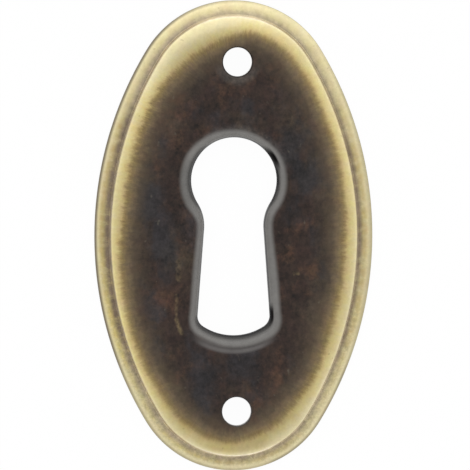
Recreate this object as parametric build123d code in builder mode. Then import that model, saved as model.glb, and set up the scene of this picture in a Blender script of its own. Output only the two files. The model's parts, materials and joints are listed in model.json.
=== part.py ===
from build123d import *

import os
from math import atan2, degrees, sqrt

# Oval keyhole escutcheon, pressed from one piece of brass sheet. Millimetres.
# The plate lies on its back: the origin is the middle of the mounting plane,
# +Z points out of the face and +Y runs up the plate, to the keyhole's round end.

# Sheet and outline: an oval of two end arcs and two side arcs
sheet = 0.8
plate_width = 26.0
plate_height = 44.0
end_radius = 9.5

# Rim, from the outline inwards: a bowed slope that rises from a thinned edge, then a steep step
rim_edge = 0.41
rim_edge_radius = 0.2
rim_slope = 1.36
rim_bow_radius = 5.4
step_foot_radius = 0.08
step_run = 0.12
step_height = 0.7
step_edge_radius = 0.28

# Raised field: a crowned border that runs out into a flat middle
crown_width = 2.47
crown_rise = 0.45
recess_radius = 0.2

# Keyhole, measured on the clear opening inside its lip
keyhole_round_radius = 4.0
keyhole_round_y = 5.25
neck_y = 0.7
neck_half_width = 2.78
neck_radius = 4.0
foot_y = -8.0
foot_half_width = 3.42
foot_sag = 1.28
foot_corner_radius = 1.2

# Lip: the sheet turned down round the keyhole
lip_bend_radius = 0.3
lip_clearance = 0.3

# Pin holes, punched where the flat begins, a little to the right of the plate's centre line
pin_hole_radius = 1.35
pin_hole_edge_radius = 0.12
pin_hole_land = 0.28
pin_hole_shift = 0.25

# The flat middle runs into the rim's section by this much, half-way along the section's own flat
flat_lap = 0.45

# Heights and distances that follow from the sizes above
half_width, half_height = plate_width / 2, plate_height / 2
end_y = half_height - end_radius
side_radius = (half_width**2 - end_radius**2 + end_y**2) / (2 * (half_width - end_radius))
side_x = side_radius - half_width
end_angle = degrees(atan2(end_y, side_x))
step_top = sheet + step_height
field_top = step_top + crown_rise
field_back = field_top - sheet
rim_width = rim_slope + step_run
crown_end = rim_width + crown_width
flat_inset = crown_end + flat_lap
section_end = flat_inset + flat_lap
recess_start = rim_width + sheet
crown_radius = (crown_width**2 + crown_rise**2) / (2 * crown_rise)
crown_back_radius = crown_radius - sheet
pin_y = half_height - crown_end - pin_hole_land - pin_hole_edge_radius - pin_hole_radius
recess_edge = field_top - crown_radius + sqrt(crown_back_radius**2 - (crown_end - recess_start) ** 2)
slot_flare = (foot_half_width - neck_half_width) / (neck_y - foot_y)
slot_top_half_width = neck_half_width - slot_flare * (keyhole_round_y - neck_y)


# Clear opening of the keyhole: a round top over a slot that widens to a curved foot
with BuildSketch() as keyhole:
    with BuildLine():
        Polyline(
            (-foot_half_width, foot_y),
            (-slot_top_half_width, keyhole_round_y),
            (slot_top_half_width, keyhole_round_y),
            (foot_half_width, foot_y),
        )
        ThreePointArc((-foot_half_width, foot_y), (0, foot_y - foot_sag), (foot_half_width, foot_y))
    make_face()
    fillet(keyhole.vertices().group_by(Axis.Y)[0], foot_corner_radius)
    with Locations((0, keyhole_round_y)):
        Circle(keyhole_round_radius)
    fillet(keyhole.vertices().sort_by_distance((0, neck_y))[:2], neck_radius)

# Plate
with BuildPart() as plate:
    # Rim and crown: one section, drawn inwards from the outline and carried round the oval
    with BuildLine() as outline:
        CenterArc((-side_x, 0), side_radius, 0, end_angle)
        CenterArc((0, end_y), end_radius, end_angle, 180 - 2 * end_angle)
        CenterArc((side_x, 0), side_radius, 180 - end_angle, 2 * end_angle)
        CenterArc((0, -end_y), end_radius, 180 + end_angle, 180 - 2 * end_angle)
        CenterArc((-side_x, 0), side_radius, -end_angle, end_angle)
    rim_plane = Plane(origin=(half_width, 0, 0), x_dir=(-1, 0, 0), z_dir=(0, 1, 0))
    with BuildSketch(rim_plane) as rim_section:
        with BuildLine():
            Line((0, 0), (0, rim_edge))
            RadiusArc((0, rim_edge), (rim_slope, sheet), rim_bow_radius)
            Line((rim_slope, sheet), (rim_width, step_top))
            TangentArc((crown_end, field_top), (rim_width, step_top), tangent=(-1, 0))
            Polyline(
                (crown_end, field_top),
                (section_end, field_top),
                (section_end, field_back),
                (crown_end, field_back),
            )
            TangentArc((crown_end, field_back), (recess_start, recess_edge), tangent=(-1, 0))
            Polyline((recess_start, recess_edge), (recess_start, 0), (0, 0))
        make_face()
        fillet(rim_section.vertices().sort_by_distance((0, rim_edge))[0], rim_edge_radius)
        fillet(rim_section.vertices().sort_by_distance((rim_slope, sheet))[0], step_foot_radius)
        fillet(rim_section.vertices().sort_by_distance((rim_width, step_top))[0], step_edge_radius)
        fillet(rim_section.vertices().sort_by_distance((recess_start, recess_edge))[0], recess_radius)
    sweep(path=outline.wires()[0])

    # Flat middle of the field, lapped into the rim's section
    with BuildSketch(Plane.XY.offset(field_back)):
        add(outline.line)
        make_face()
        offset(amount=-flat_inset, mode=Mode.REPLACE)
    extrude(amount=sheet)

    # Pin holes, with the rounded edge the punch leaves on the face
    with Locations((pin_hole_shift, pin_y, field_top), (pin_hole_shift, -pin_y, field_top)):
        Hole(pin_hole_radius)
    front = plate.faces().filter_by(Axis.Z).group_by(Axis.Z)[-1][0]
    fillet(front.inner_wires().edges(), pin_hole_edge_radius)

    # Lip: a wall one sheet thick round the keyhole, bent down out of the field
    with BuildSketch(Plane.XY.offset(lip_clearance)):
        add(keyhole.sketch)
        offset(amount=sheet)
    extrude(amount=field_top - lip_clearance)
    with BuildSketch(Plane.XY):
        add(keyhole.sketch)
    extrude(amount=field_top, mode=Mode.SUBTRACT)
    front = plate.faces().filter_by(Axis.Z).group_by(Axis.Z)[-1][0]
    fillet(front.inner_wires().sort_by(SortBy.LENGTH)[-1].edges(), lip_bend_radius + sheet)
    back = plate.faces().filter_by(Axis.Z).group_by(Axis.Z)[-2][0]
    fillet(back.inner_wires().sort_by(SortBy.LENGTH)[-1].edges(), lip_bend_radius)
plate.part.label = "escutcheon_plate"

os.makedirs("parts", exist_ok=True)
export_step(plate.part, "parts/escutcheon_plate.step")
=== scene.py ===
# %% [markdown]
# # A keyhole escutcheon in antique brass
#
# An escutcheon is the small plate that frames a keyhole and keeps the key from scratching the wood. This
# one is pressed from a single piece of brass sheet: a sloping rim with a thin edge, a step up to a crowned
# field, and a keyhole whose edge is turned down into a lip. Two pins hold it. The imported CAD model comes in
# first, as a fixed frame, and its box gives the plate's outer sizes.

# %% Frame
import json
from functools import reduce

import bpy
import numpy as np
from mathutils import Matrix, Vector


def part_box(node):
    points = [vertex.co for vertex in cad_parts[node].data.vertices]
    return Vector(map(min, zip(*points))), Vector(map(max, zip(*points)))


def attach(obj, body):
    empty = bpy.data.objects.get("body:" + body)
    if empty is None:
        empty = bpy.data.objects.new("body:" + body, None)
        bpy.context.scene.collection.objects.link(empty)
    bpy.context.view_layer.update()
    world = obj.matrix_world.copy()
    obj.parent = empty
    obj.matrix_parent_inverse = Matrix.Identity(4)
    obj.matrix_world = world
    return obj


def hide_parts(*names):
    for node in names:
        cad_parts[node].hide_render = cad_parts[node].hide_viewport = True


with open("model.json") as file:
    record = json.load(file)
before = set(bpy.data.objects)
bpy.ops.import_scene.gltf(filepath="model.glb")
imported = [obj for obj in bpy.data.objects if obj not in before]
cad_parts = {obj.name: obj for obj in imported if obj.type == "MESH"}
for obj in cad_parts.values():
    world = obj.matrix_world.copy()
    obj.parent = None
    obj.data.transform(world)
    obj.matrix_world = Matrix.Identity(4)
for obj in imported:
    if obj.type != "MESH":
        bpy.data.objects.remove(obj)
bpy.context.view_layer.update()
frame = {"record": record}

MM = 0.001

# %% [markdown]
# ## Sizes
#
# The plate's half width, half height and thickness are read from the frame, and the pin holes from the
# record's mounts. The other sizes repeat the CAD source, in millimetres, because a shape that is worked out
# from formulas needs the radii themselves and not a mesh of them.

# %% Sizes
half_width, half_height, field_top = (round(side / MM, 4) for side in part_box("escutcheon_plate")[1])
bores = [mount for mount in frame["record"]["mounts"] if mount["kind"] == "bore"]
pin_holes = np.array([mount["pos_m"][:2] for mount in bores]) / MM
pin_radius = bores[0]["dims"]["r_mm"]
sheet = 0.8
end_radius = 9.5
print("half plate", half_width, half_height, "field at", field_top, "pin holes at", pin_holes.tolist())

# %% [markdown]
# ## The oval
#
# The outline is an oval of four arcs that meet without a corner: two of 9.5 mm at the ends and two wide
# ones at the sides. A scaled circle would be quicker, but it is too pointed at the tips, and its parallel
# curves are no longer ellipses. With arcs, a curve that lies a given inset inside the outline is made of
# the same four arcs with smaller radii, so every ring of the rim is exact.

# %% Oval
end_y = half_height - end_radius
side_radius = (half_width**2 - end_radius**2 + end_y**2) / (2 * (half_width - end_radius))
side_x = side_radius - half_width
join = np.arctan2(end_y, side_x)
AROUND = 400


def oval_turn(share):
    """Direction of the outline's normal at a share of its length: it turns evenly along each arc."""
    turns = np.array([0, join, np.pi - join, np.pi + join, 2 * np.pi - join, 2 * np.pi])
    radii = np.array([side_radius, end_radius, side_radius, end_radius, side_radius])
    run = np.concatenate([[0], np.cumsum(np.diff(turns) * radii)])
    return np.interp(share * run[-1], run, turns), run[-1]


def oval(turn, inset):
    """Point of the ring at this inset: the arc's centre plus (radius - inset) along the normal."""
    cos, sin = np.cos(turn), np.sin(turn)
    on_end = np.abs(sin) > np.sin(join)
    radius = np.where(on_end, end_radius, side_radius) - inset
    x = np.where(on_end, 0, -np.sign(cos) * side_x) + radius * cos
    y = np.where(on_end, np.sign(sin) * end_y, 0) + radius * sin
    return np.stack([x, y], -1)


def oval_foot(xy):
    """Nearest outline point, and the inset from it: radius minus the distance to the arc's own centre."""
    across, up = np.abs(xy[..., 0]), np.abs(xy[..., 1])
    on_end = np.arctan2(up - end_y, across) > join
    radius = np.where(on_end, end_radius, side_radius)
    dx, dy = across + np.where(on_end, 0, side_x), up - np.where(on_end, end_y, 0)
    away = np.maximum(np.hypot(dx, dy), 1e-6)
    foot = xy + np.sign(xy) * np.stack([dx, dy], -1) * (radius / away - 1)[..., None]
    return foot, radius - away


turn, oval_length = oval_turn(np.arange(AROUND) / AROUND)
print("side arcs of", round(side_radius, 2), "mm, outline", round(oval_length, 1), "mm long")

# %% [markdown]
# ## The rim's section
#
# Cut through the rim and it shows a thinned edge, a bowed slope that rises ever more gently from it, and a
# steep step up to the field, which is crowned: it rises on a 7 mm arc and runs out flat. A lathe-like spin
# cannot follow an oval, so the section is drawn once, as insets and heights, and carried round the outline.
# Every edge is an arc of the radius that the press tool leaves, because it is the arcs that catch the
# light. First come helpers for straight runs, arcs and rounded corners.

# %% Section helpers
def straight(start, end, steps):
    """Points between two ends, evenly spaced, without the ends themselves."""
    return np.linspace(start, end, steps + 1)[1:-1]


def arc(centre, radius, start, end, steps):
    """Points on a circle from one angle, in degrees, to another, with both ends."""
    angle = np.radians(np.linspace(start, end, steps + 1))
    return np.asarray(centre) + radius * np.stack([np.cos(angle), np.sin(angle)], -1)


def rounded(before, at, after, radius, steps):
    """Arc in a corner: it touches both sides at radius * tan(half the turn) from the corner."""
    before, at, after = (np.array(point, float) for point in (before, at, after))
    into = (at - before) / np.hypot(*(at - before))
    out = (after - at) / np.hypot(*(after - at))
    bend = np.degrees(np.arctan2(into[0] * out[1] - into[1] * out[0], into @ out))
    side = np.sign(bend)
    setback = radius * np.tan(np.radians(abs(bend) / 2))
    centre = at - into * setback + side * radius * np.array([-into[1], into[0]])
    start = np.degrees(np.arctan2(-side * into[0], side * into[1]))
    return arc(centre, radius, start, start + bend, steps)


def bearing(vector):
    """Angle of a vector from the section's first axis, in degrees."""
    return np.degrees(np.arctan2(vector[1], vector[0]))


def bowed(start, end, radius, steps):
    """Arc between two points that bulges upwards: its centre lies below the middle of the chord."""
    start, end = np.array(start, float), np.array(end, float)
    chord = end - start
    up = bearing([-chord[1], chord[0]])
    half_turn = np.degrees(np.arcsin(np.hypot(*chord) / 2 / radius))
    below = radius * np.cos(np.radians(half_turn)) * np.array([-chord[1], chord[0]]) / np.hypot(*chord)
    return arc((start + end) / 2 - below, radius, up + half_turn, up - half_turn, steps)


print("a quarter turn of a 1 mm arc ends at", np.round(arc((0, 0), 1, 0, 90, 4)[-1], 3).tolist())

# %% [markdown]
# ### Points of the section
#
# The section starts on the back of the field, goes down the wall of the recess and out under the rim, turns
# up round the thin edge, climbs the slope and the step, and ends on the crown. An arc in a corner has to
# touch what lies on both sides of it. Between two straight sides the helper does that. The step's edge and
# the recess corner each touch a line and the crown's circle, so their centres are worked out here.

# %% Rim section
rim_edge, rim_edge_radius, rim_bow_radius = 0.41, 0.2, 5.4
rim_slope, step_foot_radius = 1.36, 0.08
rim_width, step_top, step_edge_radius = 1.48, 1.5, 0.28
recess_start, recess_radius = 2.28, 0.2
crown_end, crown_radius = 3.95, 7.0038
edge_radius = 0.08
field_start = 2.6

crown_centre = np.array([crown_end, field_top - crown_radius])
back_radius = crown_radius - sheet
riser_up = np.array([rim_width - rim_slope, step_top - sheet])
riser_up /= np.hypot(*riser_up)
riser_in = np.array([riser_up[1], -riser_up[0]])


def field_height(inset, radius):
    """Height over the back: the crown's circle where the inset is short of the flat, level beyond it."""
    fall = np.clip(crown_end - inset, 0, None)
    return crown_centre[1] + np.sqrt(radius**2 - fall**2)


# The step's edge touches the riser and the crown: its centre is one edge radius inside both
to_step = np.array([rim_width, step_top]) + step_edge_radius * riser_in - crown_centre
run = to_step @ riser_up
along = np.sqrt(run**2 - to_step @ to_step + (crown_radius - step_edge_radius) ** 2) - run
step_centre = crown_centre + to_step + along * riser_up
step_end = bearing(step_centre - crown_centre)
step_start = bearing(-riser_in)
# The recess corner touches the upright wall and the back of the crown in the same way
recess_rise = np.sqrt((back_radius - recess_radius) ** 2 - (crown_end - recess_start - recess_radius) ** 2)
recess_centre = crown_centre + [recess_start + recess_radius - crown_end, recess_rise]
recess_turn = bearing(recess_centre - crown_centre)
field_turn = np.degrees(np.arccos((field_start - crown_end) / np.array([back_radius, crown_radius])))

wall_top = recess_centre * [0, 1] + [recess_start, 0]
wall_foot, rim_foot = (recess_start, 0), (0, 0)
slope = bowed((0, rim_edge), (rim_slope, sheet), rim_bow_radius, 24)
corners = [
    rounded(wall_top, wall_foot, rim_foot, edge_radius, 4),
    rounded(wall_foot, rim_foot, slope[0], edge_radius, 4),
    rounded(rim_foot, slope[0], slope[1], rim_edge_radius, 7),
    rounded(slope[-2], slope[-1], (rim_width, step_top), step_foot_radius, 6),
    arc(step_centre, step_edge_radius, step_start, step_end, 8),
]
least_gap = 0.01
on_slope = (slope[:, 0] > corners[2][-1, 0] + least_gap) & (slope[:, 0] < corners[3][0, 0] - least_gap)
rim_section = np.vstack([
    arc(crown_centre, back_radius, field_turn[0], recess_turn, 2)[:-1],
    arc(recess_centre, recess_radius, recess_turn, 180, 5),
    straight(wall_top, corners[0][0], 4), corners[0],
    straight(corners[0][-1], corners[1][0], 8), corners[1],
    straight(corners[1][-1], corners[2][0], 3), corners[2],
    slope[on_slope], corners[3],
    straight(corners[3][-1], corners[4][0], 5), corners[4],
    arc(crown_centre, crown_radius, step_end, field_turn[1], 8)[1:],
])
rim_xy = oval(turn, rim_section[:, :1])
rim_z = np.repeat(rim_section[:, 1:], AROUND, 1)
print("rim section of", len(rim_section), "points, highest", round(rim_section[:, 1].max(), 3))

# %% [markdown]
# ## The keyhole's edge
#
# The keyhole is a round over a slot that widens a little to a curved foot. Round, neck, flank, corner and
# foot are arcs and a line that touch each other, so the edge has a normal everywhere, and the lip can be
# drawn as a distance along it. One half is worked out from the tangent points and mirrored. The plate's
# spokes all start from a hub in the neck, and each spoke meets the edge at its own bearing.

# %% Keyhole edge
round_y, round_radius = 5.25, 4.0
neck_y, neck_half, neck_radius = 0.7, 2.78, 4.0
foot_y, foot_half, foot_sag, foot_corner = -8.0, 3.42, 1.28, 1.2
hub = np.array([0, neck_y])

round_centre = np.array([0, round_y])
foot_radius = (foot_half**2 + foot_sag**2) / (2 * foot_sag)
foot_centre = np.array([0, foot_y - foot_sag + foot_radius])
flank = np.array([neck_half - foot_half, neck_y - foot_y])
flank /= np.hypot(*flank)
flank_out = np.array([flank[1], -flank[0]])


def touching(centre, distance, aside):
    """Centre of an arc aside of the flank, at a distance from another centre: the lower crossing."""
    from_centre = np.array([foot_half, foot_y]) + aside * flank_out - centre
    run = from_centre @ flank
    return centre + from_centre - flank * (run + np.sqrt(run**2 - from_centre @ from_centre + distance**2))


neck_centre = touching(round_centre, round_radius + neck_radius, neck_radius)
corner_centre = touching(foot_centre, foot_radius - foot_corner, -foot_corner)
foot_end, flank_turn = bearing(corner_centre - foot_centre), bearing(flank_out)
round_start = bearing(neck_centre - round_centre)
flank_ends = corner_centre + foot_corner * flank_out, neck_centre - neck_radius * flank_out
FINE = 240
half_edge = np.vstack([
    arc(foot_centre, foot_radius, -90, foot_end, FINE)[:-1],
    arc(corner_centre, foot_corner, foot_end, flank_turn, FINE),
    straight(*flank_ends, FINE),
    arc(neck_centre, neck_radius, flank_turn + 180, round_start + 180, FINE),
    arc(round_centre, round_radius, round_start, 90, FINE)[1:],
])
edge = np.vstack([half_edge, (half_edge * [-1, 1])[-2:0:-1]])
tangent = np.roll(edge, -1, 0) - np.roll(edge, 1, 0)
tangent /= np.hypot(*tangent.T)[:, None]
edge_out = np.stack([tangent[:, 1], -tangent[:, 0]], -1)


def spoke_bearing(xy):
    """Bearing of a point from the hub, in radians."""
    return np.arctan2(xy[..., 1] - hub[1], xy[..., 0] - hub[0])


bend_reach = 1.1
edge_bearing = spoke_bearing(edge + bend_reach * edge_out)
spokes = spoke_bearing(rim_xy[-1])
hole_edge, hole_out = (
    np.stack([np.interp(spokes, edge_bearing, values[:, k], period=2 * np.pi) for k in (0, 1)], -1)
    for values in (edge, edge_out)
)
hole_out /= np.hypot(*hole_out.T)[:, None]
opening = np.round(edge.max(0) - edge.min(0), 2).tolist()
print("keyhole", opening, "mm, neck arc round", np.round(neck_centre, 2).tolist())

# %% [markdown]
# ## Field and lip
#
# The field runs from the rim to the keyhole. Its rows blend the last ring of the rim into a curve that is
# parallel to the keyhole, then follow that curve in, so the rows lie along whichever edge is near. Height
# is a function of the inset alone, on the face and on the back. At the hole the sheet bends down through a
# quarter circle, ends in a rounded edge that stops short of the back, and comes up again on its hidden
# side. The press drags the face in a little at the foot of the keyhole, which leaves a second, fainter
# curve.

# %% Field and lip
def smooth(low, high, value):
    """0 at low, 1 at high, and the cubic 3t^2 - 2t^3 between them."""
    share = np.clip((value - low) / (high - low), 0, 1)
    return share * share * (3 - 2 * share)


strip_reach, open_reach = 1.85, 3.0
drag_reach, drag_depth, drag_least, drag_from, drag_full = 1.75, 0.12, 0.02, -7.2, -8.8
lip_foot, lip_edge_radius = 0.3, 0.1
bend_z = field_top - bend_reach
ACROSS, STRIP, BEND = 30, 8, 16

blend = np.linspace(0, 1, ACROSS + 1)[:, None, None]
strip = np.linspace(strip_reach, bend_reach, STRIP + 1)[1:]
field_xy = np.vstack([
    (1 - blend) * rim_xy[-1] + blend * (hole_edge + strip_reach * hole_out),
    hole_edge + strip[:, None, None] * hole_out,
])
field_reach = np.concatenate([strip_reach + open_reach * (1 - blend[:, 0, 0]), strip])[:, None]
field_inset = oval_foot(field_xy)[1]

lip_inner, lip_outer = (0, lip_foot), (sheet, lip_foot)
lip_corners = [
    rounded((0, bend_z), lip_inner, lip_outer, lip_edge_radius, 4),
    rounded(lip_inner, lip_outer, (sheet, bend_z), lip_edge_radius, 4),
]
lip_section = np.vstack([
    arc((bend_reach, bend_z), bend_reach, 90, 180, BEND)[1:],
    straight((0, bend_z), lip_corners[0][0], 4), lip_corners[0],
    straight(lip_corners[0][-1], lip_corners[1][0], 3), lip_corners[1],
    straight(lip_corners[1][-1], (sheet, bend_z), 3),
    arc((bend_reach, bend_z), bend_reach - sheet, 180, 90, 5)[:-1],
])
lip_xy = hole_edge + lip_section[:, :1, None] * hole_out

drag = drag_least + (drag_depth - drag_least) * smooth(drag_from, drag_full, hole_edge[:, 1])
face_z = field_height(field_inset, crown_radius)
face_z -= drag * np.clip((drag_reach - field_reach) / (drag_reach - bend_reach), 0, 1)
back_z = field_height(field_inset, back_radius)
on_bend = np.arange(len(lip_section)) < BEND
lip_z = lip_section[:, 1:] - drag * (on_bend * (lip_section[:, 1] - bend_z) / bend_reach)[:, None]
print("field rows", field_xy.shape[0], "lip rows", len(lip_section), "lip down to", lip_z.min())

# %% [markdown]
# ## One closed skin
#
# Rim, face, lip and back are stacked as rows of one grid that closes both ways, like the skin of a ring
# doughnut. A solid made from separate shells would show seams and stray inner faces. The grid keeps the
# sheet one piece, as it is on the bench, and its faces all turn outwards because every cell is wound alike.

# %% Skin grid
RIM, FIELD, LIP = len(rim_section), ACROSS + STRIP, len(lip_section)
ROWS = RIM + FIELD + LIP + FIELD
skin = np.vstack([
    np.dstack([rim_xy, rim_z]),
    np.dstack([field_xy, face_z])[1:],
    np.dstack([lip_xy, lip_z]),
    np.dstack([field_xy, back_z])[:0:-1],
])
number = np.arange(ROWS * AROUND).reshape(ROWS, AROUND)
kept = np.ones((ROWS, AROUND), bool)


def face_row(step):
    """Row of the grid for a step across the face, counted from the rim."""
    return RIM - 1 + step


def back_row(step):
    """Row of the grid for the same step on the back."""
    return (ROWS - step) % ROWS


def quads(upper, lower):
    """Cells between rows of vertex numbers, closed round: two corners on one row, two on the next."""
    cells = [upper, np.roll(upper, -1, -1), np.roll(lower, -1, -1), lower]
    return np.stack(cells, -1)


print("skin grid of", skin.shape, "points")

# %% [markdown]
# ## Pin holes
#
# A Boolean would cut the holes, but it leaves long thin triangles that shade badly. Here a block of cells
# is left out of the face and of the back instead, and a funnel of rows joins the two openings: from the
# square block in to a circle, over the edge that the punch rounds, down the wall and out again on the back.

# %% Pin holes
pin_edge_radius, burr_radius = 0.12, 0.06
block_half = 2.15
FUNNEL, PUNCHED = 6, 6


def pin_hole(centre, first):
    """Points and vertex numbers of one funnel: blend to the circle, quarter arcs, wall, blend back."""
    up = np.sign(centre[1])
    near = slice(0, AROUND // 2) if up > 0 else slice(AROUND // 2, AROUND)
    mid = np.abs(field_xy[: ACROSS + 1, AROUND // 4 if up > 0 else 3 * AROUND // 4, 1] - centre[1]).argmin()
    sides = block_half, -block_half
    row_x = field_xy[mid, near, 0]
    i0, i1 = (near.start + np.abs(row_x - centre[0] - up * side).argmin() for side in sides)
    column_y = field_xy[: ACROSS + 1, (i0 + i1) // 2, 1]
    k0, k1 = (np.abs(column_y - centre[1] - up * side).argmin() for side in sides)
    kept[face_row(k0) : face_row(k1), i0:i1] = False
    kept[back_row(k1) : back_row(k0), i0:i1] = False
    k_loop = np.r_[np.arange(k1, k0, -1), np.full(i1 - i0, k0), np.arange(k0, k1), np.full(i1 - i0, k1)]
    i_loop = np.r_[np.full(k1 - k0, i0), np.arange(i0, i1), np.full(k1 - k0, i1), np.arange(i1, i0, -1)]
    square = field_xy[k_loop, i_loop]
    out = (square - centre) / np.hypot(*(square - centre).T)[:, None]
    share = np.linspace(0, 1, FUNNEL + 1)[1:, None, None]
    rim, burr = pin_radius + pin_edge_radius, pin_radius + burr_radius
    back = field_top - sheet
    face = (1 - share) * square + share * (centre + rim * out)
    behind = ((1 - share) * square + share * (centre + burr * out))[::-1]
    tube = np.vstack([
        arc((rim, field_top - pin_edge_radius), pin_edge_radius, 90, 180, PUNCHED)[1:],
        straight((pin_radius, field_top - pin_edge_radius), (pin_radius, back + burr_radius), 3),
        arc((burr, back + burr_radius), burr_radius, 180, 270, 3)[:-1],
    ])
    tube_xy = centre + tube[:, :1, None] * out
    tube_z = np.repeat(tube[:, 1:], len(out), 1)
    rows = np.vstack([
        np.dstack([face, field_height(oval_foot(face)[1], crown_radius)]),
        np.dstack([tube_xy, tube_z]),
        np.dstack([behind, field_height(oval_foot(behind)[1], back_radius)]),
    ])
    new = first + np.arange(rows.shape[0] * rows.shape[1]).reshape(rows.shape[:2])
    ends = number[face_row(k_loop), i_loop], number[back_row(k_loop), i_loop]
    return rows, np.vstack([ends[0], new, ends[1]])


funnels, first_new = [], ROWS * AROUND
for centre in pin_holes:
    funnels.append(pin_hole(centre, first_new))
    first_new += funnels[-1][0].shape[0] * funnels[-1][0].shape[1]
left_out = int((~kept).sum())
print("funnels of", [rows.shape[:2] for rows, _ in funnels], "points,", left_out, "cells left out")

# %% [markdown]
# ## Marks for the finish
#
# The finish follows the plate's own edges and not straight axes: the polishing wheel was led round the
# rim, and the lip is worn by the key. So each vertex carries three marks for the material to read. The
# brush line is its nearest point on the outline, which is the same all along one stroke of the wheel, and
# its inset from there. The lip reach is its distance from the keyhole's edge, counted on down the inner
# wall as less than nothing. The face side tells face from back.

# %% Marks
FACE_FUNNEL, FACE_LIP, FAR = FUNNEL + PUNCHED, BEND + 5, 9.0
back_below, face_above = 0.05, 0.3
rim_side = smooth(back_below, face_above, rim_section[:, 1]) * (np.arange(RIM) > RIM // 4)
lip_side = (np.arange(LIP) < FACE_LIP).astype(float)
side_rows = np.concatenate([rim_side, np.ones(FIELD), lip_side, np.zeros(FIELD)])
depth_reach = lip_section[:, 0] - np.where(lip_section[:, 0] < 1e-6, bend_z - lip_section[:, 1], 0)
reach_rows = np.concatenate([np.full(RIM, FAR), field_reach[1:, 0], depth_reach, field_reach[:0:-1, 0]])
face_sides, reaches, parts = [np.repeat(side_rows, AROUND)], [np.repeat(reach_rows, AROUND)], [skin]
for rows, _ in funnels:
    face_sides.append(np.repeat(np.arange(len(rows)) < FACE_FUNNEL, rows.shape[1]))
    reaches.append(np.full(rows.shape[0] * rows.shape[1], FAR))
    parts.append(rows)
face_side, lip_reach = np.concatenate(face_sides), np.concatenate(reaches)
points = np.vstack([part.reshape(-1, 3) for part in parts])
foot, inset = oval_foot(points[:, :2])
brush_line = np.column_stack([foot, inset])
print("inset from", round(inset.min(), 4), "to", round(inset.max(), 2), "mm")

# %% [markdown]
# ## The mesh
#
# The arrays go into one mesh in metres. Points inside the left-out blocks belong to no face, so they are
# dropped and the rest renumbered. The object stays at the origin with its place in its mesh. It rides on
# the frame's one body and stands for the CAD plate, which is hidden but still used for collision.

# %% Plate mesh
faces = quads(number, np.roll(number, -1, 0))[kept]
faces = np.vstack([faces] + [quads(rows[:-1], rows[1:]).reshape(-1, 4) for _, rows in funnels])
used, faces = np.unique(faces, return_inverse=True)
faces = faces.reshape(-1, 4)

mesh = bpy.data.meshes.new("escutcheon_skin")
mesh.from_pydata((points[used] * MM).tolist(), [], faces.tolist())
mesh.polygons.foreach_set("use_smooth", np.ones(len(faces), bool))
marks = [
    ("brush_line", "FLOAT_VECTOR", "vector", brush_line),
    ("lip_reach", "FLOAT", "value", lip_reach),
    ("face_side", "FLOAT", "value", face_side),
]
for name, kind, holder, values in marks:
    mesh.attributes.new(name, kind, "POINT").data.foreach_set(holder, values[used].ravel())
mesh.update()

plate = bpy.data.objects.new("escutcheon", mesh)
bpy.context.collection.objects.link(plate)
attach(plate, "root")
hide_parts("escutcheon_plate")
print("plate of", len(used), "points and", len(faces), "four-sided faces")

# %% [markdown]
# ## Antique brass
#
# The maker dips the plate in a dark brown patina, brushes the rim back to bright brass with a wheel, and
# lacquers it. So the bright metal fades into the patina in short strokes that point in from the edge, a
# dull residue stays at the foot of the step, and the field is mottled. A picture could hold all this, but
# it would have one size. The nodes work from the marks instead, in millimetres, and stay sharp at any
# distance. First come small helpers, so that each part of the finish reads as a sum or a product.

# %% Node helpers
brass = bpy.data.materials.new("antique_brass")
brass.use_nodes = True
tree = brass.node_tree
tree.nodes.clear()


def add(kind, inputs=None, **settings):
    """One shader node: settings go on the node, and each input is a number or the socket that feeds it."""
    made = tree.nodes.new("ShaderNode" + kind)
    for name, value in settings.items():
        setattr(made, name, value)
    for key, value in (inputs or {}).items():
        if isinstance(value, bpy.types.NodeSocket):
            tree.links.new(value, made.inputs[key])
        else:
            made.inputs[key].default_value = value
    return made


def maths(operation, *values):
    """Arithmetic on one, two or three numbers."""
    return add("Math", dict(enumerate(values)), operation=operation).outputs[0]


def total(*values):
    """Sum of any number of values."""
    return reduce(lambda one, two: maths("ADD", one, two), values)


def times(*values):
    """Product of any number of values."""
    return reduce(lambda one, two: maths("MULTIPLY", one, two), values)


print("arithmetic for", brass.name)

# %% [markdown]
# ### Ramps, noise and tints
#
# Four more helpers do the painting. A ramp turns a distance into a soft-edged share. A noise scatters blots
# of a chosen size, and a swing lets them push another value both ways. A tint lays one colour over another
# by the product of such shares, so a mark is placed by saying how far, how high and how strongly it shows.

# %% Ramps, noise and tints
def ramp(value, low, high, start=0.0, end=1.0):
    """Start below low, end above high, and an S-shaped curve between them."""
    inputs = {"Value": value, "From Min": low, "From Max": high, "To Min": start, "To Max": end}
    return add("MapRange", inputs, interpolation_type="SMOOTHSTEP").outputs["Result"]


def noise(vector, scale, place, detail=3.0, roughness=0.55):
    """Smooth noise from 0 to 1 with one blot per 1 / scale on each axis, read from a shifted place."""
    spot = add("Mapping", {"Vector": vector, "Scale": scale, "Location": place}).outputs[0]
    inputs = {"Vector": spot, "Scale": 1.0, "Detail": detail, "Roughness": roughness}
    return add("TexNoise", inputs).outputs["Fac"]


def swing(value, amount):
    """A noise turned into a swing to both sides of zero: (value - 0.5) times the amount."""
    return times(maths("SUBTRACT", value, 0.5), amount)


def tinted(under, over, *shares):
    """Colour that goes from under to over with the product of the shares."""
    made = add("Mix", {0: times(*shares)}, data_type="RGBA", clamp_factor=True)
    for key, value in ((6, under), (7, over)):
        if isinstance(value, bpy.types.NodeSocket):
            tree.links.new(value, made.inputs[key])
        else:
            made.inputs[key].default_value = (*value, 1.0)
    return made.outputs[2]


print("ramps, noise and tints for", brass.name)

# %% [markdown]
# ### Marks and strokes
#
# The marks come in as attributes. Noise that is stretched inwards gives the strokes: along the outline it
# changes about every third of a millimetre, and from the edge inwards about every millimetre. A slower
# noise makes the wheel's pressure uneven. Object coordinates, in millimetres, serve for blots that follow
# no edge.

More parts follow.
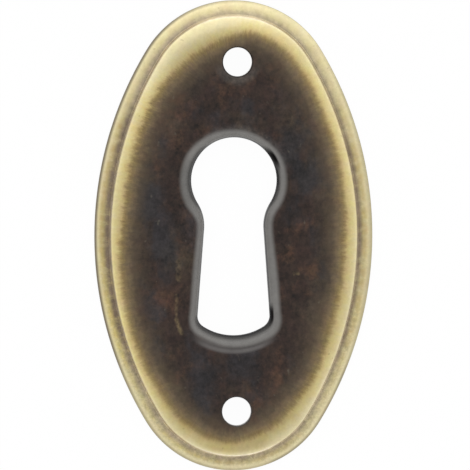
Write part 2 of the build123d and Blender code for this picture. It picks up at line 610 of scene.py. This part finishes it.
# %% Marks and strokes
object_place = add("TexCoord").outputs["Object"]
place = add("VectorMath", {0: object_place, "Scale": 1 / MM}, operation="SCALE").outputs[0]
line = add("Attribute", attribute_name="brush_line").outputs["Vector"]
reach = add("Attribute", attribute_name="lip_reach").outputs["Fac"]
side = add("Attribute", attribute_name="face_side").outputs["Fac"]
line_x, line_y, depth = add("SeparateXYZ", {0: line}).outputs
at_x, at_y, _ = add("SeparateXYZ", {0: place}).outputs
from_tip = maths("ABSOLUTE", line_y)

strokes = noise(line, (2.7, 2.7, 1.1), (0.0, 0.0, 0.0), 4.0, 0.7)
pressure = noise(line, (0.22, 0.22, 0.1), (7.0, 2.0, 5.0), 2.0)


def towards(across, up):
    """How far a stretch of the rim lies in a direction: about 1 where the oval reaches farthest."""
    return total(times(line_x, across / half_width), times(line_y, up / half_height))


print("strokes and pressure ready")

# %% [markdown]
# ### How far the wheel reached
#
# The bright band is 2.5 mm wide along the sides and wider at the tips, most of all at the top left. It is
# narrowest on the left below the middle. The strokes are longest at the top left, and short at the upper
# right and round the lower end. The depth of a point past the band's limit, with the strokes added, gives
# one number, the finish depth. It runs through colours from bright brass over olive and brown to the full
# patina.

# %% Finish depth
top_left = towards(-0.574, 0.819)
limit = total(
    ramp(from_tip, 13.0, 19.0, 2.5, 2.72),
    times(ramp(line_x, -2.0, -12.0), ramp(line_y, 5.0, -7.0, 0.02, -0.42)),
    times(ramp(line_x, 0.0, 12.0), ramp(line_y, -2.0, 9.0, 0.13, -0.1)),
    ramp(towards(-0.36, 0.93), 0.84, 1.04, 0.0, 1.01),
    ramp(towards(0.36, -0.93), 0.89, 1.0, 0.0, 0.3),
    ramp(towards(-0.62, -0.785), 0.94, 1.0, 0.0, 0.2),
    times(swing(pressure, 0.32), ramp(line_y, 14.0, 21.0, 1.0, 0.55)),
)
stroke_length = total(
    ramp(depth, 3.0, 4.0, 1.05, 0.8),
    ramp(towards(-0.6, 0.8), 0.78, 0.95, 0.0, 0.36),
    ramp(towards(0.7, 0.7), 0.65, 0.95, 0.0, -0.35),
    ramp(line_y, -18.0, -21.0, 0.0, -0.3),
    ramp(towards(-0.7, -0.7), 0.7, 0.95, 0.0, -0.3),
)
past = total(depth, times(limit, -1.0), times(swing(strokes, 1.0), stroke_length))
worn = add("MapRange", {"Value": past, "From Min": -1.15, "From Max": 3.35}).outputs["Result"]
fade = add("ValToRGB", {"Fac": worn})
stops = [
    (0.00, (0.655, 0.58, 0.35)),
    (0.15, (0.67, 0.565, 0.27)),
    (0.22, (0.60, 0.47, 0.22)),
    (0.27, (0.42, 0.315, 0.145)),
    (0.32, (0.265, 0.195, 0.093)),
    (0.405, (0.14, 0.10, 0.054)),
    (0.535, (0.072, 0.051, 0.031)),
    (0.75, (0.037, 0.025, 0.017)),
    (1.00, (0.028, 0.016, 0.012)),
]
for k, (spot, colour) in enumerate(stops):
    element = fade.color_ramp.elements[k] if k < 2 else fade.color_ramp.elements.new(spot)
    element.position, element.color = spot, (*colour, 1.0)
patina, settled = ramp(worn, 0.2, 0.5), ramp(worn, 0.35, 0.85)
polished = maths("SUBTRACT", 1.0, patina)
print("fade with", len(stops), "colours")

# %% [markdown]
# ### Mottled field
#
# Patina is never one brown. Reddish, blue-black and olive blots a few millimetres wide lie over each other.
# Three finer noises, a cloud, a blur and a grain, are kept for later: they make the same brown lighter and
# darker within each blot.

# %% Mottled field
blue_blots = ramp(noise(place, (0.22, 0.16, 0.2), (3.0, 8.0, 1.0), 5.0, 0.6), 0.48, 0.64)
red_blots = ramp(noise(place, (0.3, 0.26, 0.3), (11.0, 4.0, 6.0), 5.0, 0.65), 0.5, 0.66)
olive_blots = ramp(noise(place, (0.2, 0.2, 0.2), (17.0, 9.0, 2.0), 3.0), 0.52, 0.7)
field = tinted(fade.outputs[0], (0.068, 0.050, 0.031), olive_blots, settled, 0.45)
field = tinted(field, (0.072, 0.037, 0.022), red_blots, settled, 0.72)
field = tinted(field, (0.019, 0.020, 0.024), blue_blots, settled, 0.68)
cloud = noise(place, (0.8, 0.6, 0.8), (2.0, 13.0, 4.0), 5.0, 0.7)
blur = noise(place, (2.0, 1.7, 2.0), (6.0, 3.0, 8.0), 2.0, 0.6)
grain = noise(place, (3.6, 3.6, 3.6), (0.0, 0.0, 0.0), 4.0, 0.7)
print("three kinds of blot, three finer noises")

# %% [markdown]
# ### Wear on the field
#
# Handling leaves small traces: pale flecks where dust sits in the lacquer, and a few streaks beside the
# keyhole, where keys have rubbed through the brown. A streak is drawn as a short line on the face: it is
# full on the line, fades out with the distance from it, and the finer noises shake and break it.

# %% Field wear
flecks = ramp(noise(place, (1.5, 1.1, 1.5), (9.0, 9.0, 2.0), 2.0), 0.68, 0.76)
field = tinted(field, (0.13, 0.115, 0.085), flecks, patina, 0.3)
shaken_x, shaken_y = total(at_x, swing(cloud, 0.35)), total(at_y, swing(blur, 0.4))
shaken = add("CombineXYZ", {0: shaken_x, 1: shaken_y}).outputs[0]


def streak(start, end, width):
    """Share of a rubbed line: its nearest point lies dot(p - start, run) / run^2, clamped, along it."""
    start, run = Vector((*start, 0.0)), Vector((*end, 0.0)) - Vector((*start, 0.0))
    away = add("VectorMath", {0: shaken, 1: start}, operation="SUBTRACT").outputs[0]
    per_run = run / run.length_squared
    along = add("VectorMath", {0: away, 1: per_run}, operation="DOT_PRODUCT").outputs["Value"]
    along = add("Clamp", {"Value": along}).outputs[0]
    nearest = add("VectorMath", {0: run, "Scale": along}, operation="SCALE").outputs[0]
    return ramp(add("VectorMath", {0: away, 1: nearest}, operation="DISTANCE").outputs["Value"], width, 0.0)


streaks = [
    ((-5.2, -2.3), (-5.2, -3.9), 0.42, 0.2),
    ((-5.4, -5.4), (-5.4, -7.8), 0.2, 0.26),
    ((-5.4, -7.7), (-4.9, -9.0), 0.28, 0.45),
    ((5.6, -3.4), (5.95, -3.4), 0.26, 0.3),
]
broken = ramp(blur, 0.35, 0.55, 0.35)
for start, end, width, share in streaks:
    field = tinted(field, (0.25, 0.185, 0.09), streak(start, end, width), broken, share)
print("flecks and", len(streaks), "rubbed streaks")

# %% [markdown]
# ### Bright band
#
# The brushed brass is not one colour either. Where the wheel pressed less, most of all at the lower tip, a
# film of patina turns the crown a deeper gold. A few dark specks stay in pits that the wheel passed over.

# %% Bright band
gold = times(ramp(line_y, -21.9, -20.4, 0.65, 0.18), ramp(top_left, 0.5, 0.95, 1.0, 0.3))
field = tinted(field, (0.48, 0.38, 0.175), gold, ramp(depth, 1.55, 2.0), ramp(worn, 0.25, 0.1))
specks = ramp(noise(place, (2.2, 2.2, 2.2), (4.0, 7.0, 1.0), 1.0), 0.73, 0.79)
field = tinted(field, (0.2, 0.15, 0.08), specks, polished, 0.3)
print("gold film and dark specks")

# %% [markdown]
# ### Rim
#
# The wheel rides over the corner under the step and can't reach into it. So the rim is bright towards its
# edge and turns olive half-way under a film of old patina, which is yellower at the lower left. Towards the
# foot of the step it keeps a dull, blotchy residue, most of all along the sides. Film and residue share one
# mottle, which is weaker at the top.

# %% Rim
to_tip = ramp(from_tip, 6.0, 18.0)
blot_range = ramp(line_y, 4.0, 16.0, 0.4, 0.55), ramp(line_y, 4.0, 16.0, 1.15, 0.93)
blotch = ramp(noise(line, (1.6, 1.6, 1.2), (1.0, 5.0, 3.0), 5.0, 0.65), 0.25, 0.65, *blot_range)
mottle = times(blotch, ramp(grain, 0.3, 0.7, 0.85, 1.15))
residue = times(mottle, ramp(line_x, -8.0, 8.0, 1.08, 0.8), ramp(depth, 1.6, 1.46))
film_start = ramp(line_y, -8.0, -16.0, 0.12, 0.38)
film_share = total(ramp(to_tip, 0.0, 1.0, 1.0, 0.4), ramp(line_y, -17.0, -21.0, 0.0, 0.35))
film = times(residue, film_share, ramp(depth, film_start, 0.75))
film_colour = tinted((0.48, 0.38, 0.175), (0.6, 0.49, 0.205), ramp(towards(-0.7, -0.7), 0.7, 0.95))
rim = tinted(field, film_colour, film)
deep_start = ramp(line_x, -6.0, 8.0, 0.65, 0.85)
deep = times(residue, ramp(to_tip, 0.0, 1.0, 1.0, 0.62), ramp(depth, deep_start, 1.2))
deep_colour = tinted((0.26, 0.198, 0.14), (0.205, 0.155, 0.105), ramp(line_x, -6.0, -12.0))
rim = tinted(rim, tinted(deep_colour, (0.385, 0.308, 0.245), ramp(from_tip, 8.0, 18.0)), deep)
print("film and residue on the rim")

# %% [markdown]
# ### Foot of the step, riser and edge
#
# Three thin lines draw the rim. Right under the step, in its corner, a darker line is painted shade. The
# riser above it gets a painted highlight at the two tips. At the very edge a dark line runs round: strongest
# on the left and at the lower right, and faint at the top.

# %% Step foot and edge
# painted shade in the corner at the foot of the step
step_foot_shade = times(ramp(maths("ABSOLUTE", total(depth, -1.27)), 0.14, 0.0), ramp(line_y, -16.0, -8.0))
rim = tinted(rim, (0.15, 0.115, 0.08), step_foot_shade, ramp(from_tip, 21.8, 20.4, 0.0, 0.3))
# painted highlight on the riser, strongest at the two tips
riser_highlight_share = total(
    ramp(from_tip, 20.0, 21.9, 0.06, 0.9),
    ramp(towards(0.6, -0.8), 0.6, 0.95, 0.0, 0.3),
    ramp(line_x, -6.0, -12.0, 0.0, 0.12),
)
riser_highlight = times(ramp(depth, 1.32, 1.42), ramp(depth, 1.62, 1.5), riser_highlight_share)
rim = tinted(rim, (0.86, 0.76, 0.56), riser_highlight)
edge_line = ramp(depth, ramp(line_x, 10.5, 12.5, 0.35, 0.5), 0.08)
edge_share = total(ramp(line_x, 8.0, -8.0, 0.42, 0.87), ramp(towards(0.2, 0.98), 0.7, 1.0, 0.0, -0.33))
edge_share = times(edge_share, ramp(line_y, -9.0, -17.0, 1.0, 0.6))
edge_share = total(edge_share, ramp(towards(0.6, -0.8), 0.9, 0.97, 0.0, 0.35))
rim = tinted(rim, (0.12, 0.1, 0.075), edge_line, edge_share)
print("dark foot, pale riser and dark edge")

# %% [markdown]
# ### Lip
#
# The lip has lost its brown to years of keys, and its plain grey is partly that wear and partly a painted
# reflection of the bend. It is lighter at the top, a painted highlight, with a faint painted sheen running on
# past it there, and darker on the left of the round. How far the grey reaches is uneven: wider on the left
# of the round and at the foot, narrower at the neck. So a lean, added up from the sides and heights, shifts
# the distance at which the grey ends.

# %% Lip
on_left, on_right = ramp(at_x, 0.0, -3.0), ramp(at_x, 0.0, 3.0)
off_middle = maths("ABSOLUTE", at_x)
lean = total(
    times(on_left, total(ramp(at_y, 3.0, 1.0, 0.17, -0.24), ramp(at_y, 0.5, -3.5, 0.0, 0.1))),
    times(on_right, total(ramp(at_y, 3.5, 1.8, -0.05, -0.17), ramp(at_y, 1.0, -4.5, 0.0, 0.22))),
    ramp(at_y, 7.5, 9.5, 0.0, -0.18),
    ramp(at_y, -6.8, -9.0, 0.0, 0.17),
)
grey = ramp(maths("SUBTRACT", reach, lean), 1.15, 0.62)
# painted sheen: at the top the bend's reflection fades out slowly beyond the grey
top_sheen_tail = times(ramp(reach, 1.45, 0.8), ramp(at_y, 6.0, 8.5))
# grey of wear and painted reflection, lighter at the top as a painted highlight
worn_and_sheen_grey = tinted((0.172, 0.165, 0.156), (0.205, 0.197, 0.186), ramp(at_y, 6.0, 8.8))
worn_and_sheen_grey = tinted(worn_and_sheen_grey, (0.14, 0.135, 0.127), on_left, ramp(at_y, 2.0, 3.5), ramp(at_y, 7.5, 6.0))
lip = tinted(rim, (0.168, 0.161, 0.152), top_sheen_tail, 0.18)
lip = tinted(lip, worn_and_sheen_grey, grey)
print("grey lip")

# %% [markdown]
# ### Under the keyhole's foot
#
# Where the press dragged the face in, the slope faces the light: a second and fainter band of painted
# highlight follows the lip below the foot, with painted shade in the crease between the two. Like the lip it
# is a range of reach, and it fades out towards the corners.

# %% Lip foot
on_foot = ramp(at_y, -6.8, -8.6)
# painted highlight on the dragged slope below the foot
foot_band_highlight = times(ramp(reach, 1.72, 1.42), ramp(at_y, -8.3, -9.4), ramp(off_middle, 4.3, 2.2))
foot_band_highlight = times(foot_band_highlight, maths("SUBTRACT", 1.0, grey))
# painted shade in the crease between lip and band
crease_shade = times(ramp(maths("ABSOLUTE", total(reach, -1.16)), 0.17, 0.02), ramp(at_y, -9.2, -10.2))
lip = tinted(lip, (0.115, 0.106, 0.102), foot_band_highlight, 0.9)
lip = tinted(lip, (0.04, 0.036, 0.034), crease_shade, 0.42)
print("a second band under the foot")

# %% [markdown]
# ### Painted shade on the bend
#
# The bend darkens with painted shade as it turns down into the hole. Its very edge and the inner wall are
# painted black as shade, with three wider patches of it, two on the right of the round and one in the lower
# right corner. This edge shade is kept as a share of its own, because the shader needs it again to take the
# shine away.

# %% Lip shade
round_side = times(ramp(off_middle, 2.2, 3.6), ramp(at_y, 2.0, 4.0))
shade = total(times(round_side, ramp(at_x, -2.0, 2.0, 0.46, 0.27)), times(on_foot, 0.44), 0.17)
# painted shade on the bend, darker towards the hole
lip = tinted(lip, (0.012, 0.011, 0.010), ramp(reach, shade, 0.06), 0.94)
shade_patches = [times(ramp(reach, 0.17, 0.03), ramp(total(on_foot, round_side), 0.0, 1.0, 0.15, 0.85))]
for low, high, width in ((4.4, 6.6, 0.25), (6.6, 8.1, 0.56), (-8.2, -6.5, 0.42)):
    along = times(ramp(at_y, low - 0.7, low + 0.7), ramp(at_y, high + 0.5, high - 0.5))
    shade_patches.append(times(ramp(at_x, 1.6, 3.0), along, ramp(reach, width, width - 0.2)))
hole_edge_shade = reduce(lambda one, two: maths("MAXIMUM", one, two), shade_patches)
# painted shade, black on the hole's very edge and in three patches
lip = tinted(lip, (0.005, 0.004, 0.004), hole_edge_shade)
# painted shade on the inner wall down in the hole
lip = tinted(lip, (0.018, 0.014, 0.012), ramp(reach, 0.03, -0.06))
print("dark bend,", len(shade_patches) - 1, "smears and inner wall")

# %% [markdown]
# ### Pin holes
#
# The rounded edge of each pin hole is painted dark as shade, blackest round the top one, and a paler
# half-moon of painted highlight lies under the top one. Both holes lie at the same distance from the middle,
# so one distance serves both.

# %% Pin-hole edges
pin_x, pin_y = (float(value) for value in pin_holes[0])
from_pin = add("CombineXYZ", {0: total(at_x, -pin_x), 1: total(maths("ABSOLUTE", at_y), -pin_y)}).outputs[0]
from_pin = add("VectorMath", {0: from_pin}, operation="LENGTH").outputs["Value"]
# painted highlight: a paler half-moon below the top pin hole
moon_highlight = times(ramp(from_pin, 2.4, 1.7), ramp(at_y, 16.3, 14.8), ramp(at_y, 13.0, 13.5))
front = tinted(lip, (0.082, 0.072, 0.062), moon_highlight, 0.7)
# painted shade on the rounded edge of both pin holes
front = tinted(front, (0.016, 0.012, 0.010), ramp(from_pin, 1.5, 1.39), 0.75)
# the top hole's edge is blackened further as painted shade and joins the hole-edge shade
hole_edge_shade = maths("MAXIMUM", hole_edge_shade, times(ramp(from_pin, 1.5, 1.39), ramp(at_y, 0.0, 2.0, 0.0, 0.8)))
print("rings round", len(pin_holes), "pin holes")

# %% [markdown]
# ### Back and unevenness
#
# The back was dipped but never brushed: it keeps a dull, even patina. On the face, cloud, blur and grain
# darken and lighten the colour: most on the field and on the rim's residue, least on the lip. A darker halo
# lies round the keyhole, grit sits on the lower rim, and the hue drifts a little from place to place. All
# of it goes into one correction of hue, saturation and value at the end, so no colour is mixed twice.

# %% Back and unevenness
dip = noise(place, (0.35, 0.35, 0.35), (5.0, 1.0, 9.0), 4.0)
whole = tinted(tinted((0.16, 0.12, 0.07), (0.075, 0.056, 0.04), dip), front, side)
unbrushed = maths("MAXIMUM", patina, maths("SUBTRACT", 1.0, side))
dull = maths("MAXIMUM", unbrushed, times(maths("MAXIMUM", deep, riser_highlight), 0.6))
uneven = total(swing(cloud, 2.1), swing(blur, 1.3), swing(grain, 0.95))
on_rim = times(ramp(depth, 0.5, 1.1), ramp(depth, 1.5, 1.3), 0.75)
uneven = times(uneven, ramp(worn, 0.5, 0.95, 0.45, 1.0))
uneven = times(uneven, ramp(maths("MAXIMUM", dull, on_rim), 0.0, 1.0, 0.24, 1.0))
uneven = times(uneven, ramp(maths("MAXIMUM", grey, foot_band_highlight), 0.0, 0.3, 1.0, 0.15))
halo = times(ramp(reach, 1.0, 1.6), ramp(reach, 2.7, 2.0), ramp(at_y, -3.5, -0.5), ramp(at_y, 9.0, 7.0))
low_rim = times(ramp(depth, 0.2, 0.6), ramp(depth, 1.5, 1.3), ramp(line_y, 4.0, -12.0, 0.1, 0.8))
grit = total(times(polished, 0.2), low_rim)
speckle = total(uneven, times(swing(grain, 1.0), grit), times(halo, -0.12))
speckle = total(speckle, ramp(depth, 4.5, 7.5, 1.0, 0.85))
hue = total(0.5, swing(noise(place, (1.1, 1.1, 1.1), (8.0, 2.0, 5.0), 2.0), 0.04))
depth_of_colour = total(1.0, swing(noise(place, (0.9, 0.9, 0.9), (1.0, 6.0, 3.0), 2.0), 0.24))
tones = {"Hue": hue, "Saturation": depth_of_colour, "Value": speckle, "Color": whole}
colour = add("HueSaturation", tones).outputs[0]
print("back, halo, grit and drift of hue")

# %% [markdown]
# ### Gloss and shader
#
# Bright brass is metal and fairly smooth. Patina is a lacquered skin, so it is not metal to the light, and
# residue lies between the two. The painted shade on the holes' edges counts as black metal and rougher:
# seen face on, that mirrors almost nothing, while a black lacquer would still shine grey. The strokes also
# stand as very fine scratches.

# %% Shader
scratches = total(times(grain, 0.2), times(maths("SUBTRACT", 1.0, dull), strokes))
scratch_depth = 0.02
bump = add("Bump", {"Strength": 0.25, "Distance": scratch_depth * MM, "Height": scratches})
shader = add("BsdfPrincipled", {
    "Base Color": colour,
    "Metallic": maths("MAXIMUM", ramp(dull, 0.0, 1.0, 1.0, 0.0), hole_edge_shade),
    "Roughness": total(ramp(dull, 0.0, 1.0, 0.31, 0.32), swing(strokes, 0.1), times(hole_edge_shade, 0.3)),
    "IOR": 1.4,
    "Normal": bump.outputs[0],
})
tree.links.new(shader.outputs[0], add("OutputMaterial").inputs["Surface"])
mesh.materials.append(brass)
print(len(tree.nodes), "nodes in", brass.name)

# %% [markdown]
# ## Floor
#
# The plate lies on a white table. The camera sees the table as white, and so do reflections, while a share
# of plain diffuse keeps the plate's soft shadow on it. Seen from below it is clear, so the back can be
# looked at.

# %% Floor
floor_gap = 0.02
floor_mesh = bpy.data.meshes.new("floor")
floor_mesh.from_pydata([(-1, -1, 0), (1, -1, 0), (1, 1, 0), (-1, 1, 0)], [], [(0, 1, 2, 3)])
floor = bpy.data.objects.new("floor", floor_mesh)
floor.location.z = -floor_gap * MM
bpy.context.collection.objects.link(floor)

white = bpy.data.materials.new("white_table")
white.use_nodes = True
tree = white.node_tree
tree.nodes.clear()
rays = add("LightPath").outputs
mirrored = maths("MAXIMUM", rays["Is Glossy Ray"], rays["Is Transmission Ray"])
seen = maths("MAXIMUM", rays["Is Camera Ray"], mirrored)
table = add("BsdfDiffuse", {"Color": (0.85, 0.85, 0.85, 1.0)})
glow = add("Emission", {"Color": (1.0, 1.0, 1.0, 1.0), "Strength": 1.0})
lit = add("MixShader", {0: maths("MULTIPLY", seen, 0.97), 1: table.outputs[0], 2: glow.outputs[0]})
from_below, clear = add("NewGeometry").outputs["Backfacing"], add("BsdfTransparent").outputs[0]
surface = add("MixShader", {0: from_below, 1: lit.outputs[0], 2: clear})
tree.links.new(surface.outputs[0], add("OutputMaterial").inputs["Surface"])
floor_mesh.materials.append(white)
print("floor", [round(side, 2) for side in floor.dimensions])

# %% [markdown]
# ## Light
#
# A white tent gives soft light from all round and shows the colours as they are. It is dimmer in a patch
# near the zenith and brighter towards the plate's top end, where a large softbox stands as well. So the
# flat field stays dark, and the step and the rim shine most at the top and least at the bottom.

# %% Light
world = bpy.data.worlds.new("studio")
bpy.context.scene.world = world
world.use_nodes = True
tree = world.node_tree
tree.nodes.clear()
outwards = add("TexCoord").outputs["Generated"]
dim_patch = (0.035, -0.10, 0.994)
near_patch = add("VectorMath", {0: outwards, 1: dim_patch}, operation="DOT_PRODUCT").outputs["Value"]
to_top_end = ramp(add("SeparateXYZ", {0: outwards}).outputs[1], -0.1, 0.9)
tent = maths("MULTIPLY_ADD", to_top_end, 0.5, ramp(near_patch, 0.94, 0.76, 0.52, 1.16))
backdrop = add("Background", {"Color": (1.0, 1.0, 1.0, 1.0), "Strength": tent})
tree.links.new(backdrop.outputs[0], add("OutputWorld").inputs["Surface"])

softbox = bpy.data.lights.new("softbox", "AREA")
softbox.shape, softbox.size, softbox.size_y = "RECTANGLE", 0.36, 0.26
softbox.energy = 0.04
lamp = bpy.data.objects.new("softbox", softbox)
lamp.location = (-0.08, 0.25, 0.27)
lamp.rotation_euler = (-lamp.location).to_track_quat("-Z", "Y").to_euler()
bpy.context.collection.objects.link(lamp)
print("softbox", round(lamp.location.length, 2), "m away")

# %% [markdown]
# ## Camera
#
# The plate is seen almost straight on, from 3 degrees to the left and 4 degrees above, with a long lens.
# The lens follows from the distance and from how many pixels one millimetre takes in a frame 470 pixels
# wide.

# %% Camera
FRAME_PIXELS, pixels_per_mm, distance = 470, 10.70, 440.0
aim = Vector((0.149, 0.082, 0.0))
from_left, from_above, turned = np.radians([3.09, 3.74, 0.15])
toward = Vector((-np.tan(from_left), np.tan(from_above), 1.0)).normalized()
right = Vector((0, 1, 0)).cross(toward).normalized()
roll = Matrix.Rotation(turned, 3, toward)
axes = Matrix((roll @ right, roll @ toward.cross(right), toward)).transposed()

lens = bpy.data.cameras.new("camera")
lens.sensor_width = 36.0
lens.lens = lens.sensor_width * distance / (FRAME_PIXELS / pixels_per_mm)
camera = bpy.data.objects.new("camera", lens)
camera.matrix_world = Matrix.Translation((aim + toward * distance) * MM) @ axes.to_4x4()
bpy.context.collection.objects.link(camera)
bpy.context.scene.camera = camera
bpy.context.scene.view_settings.view_transform = "Standard"
print("lens of", round(lens.lens, 1), "mm")
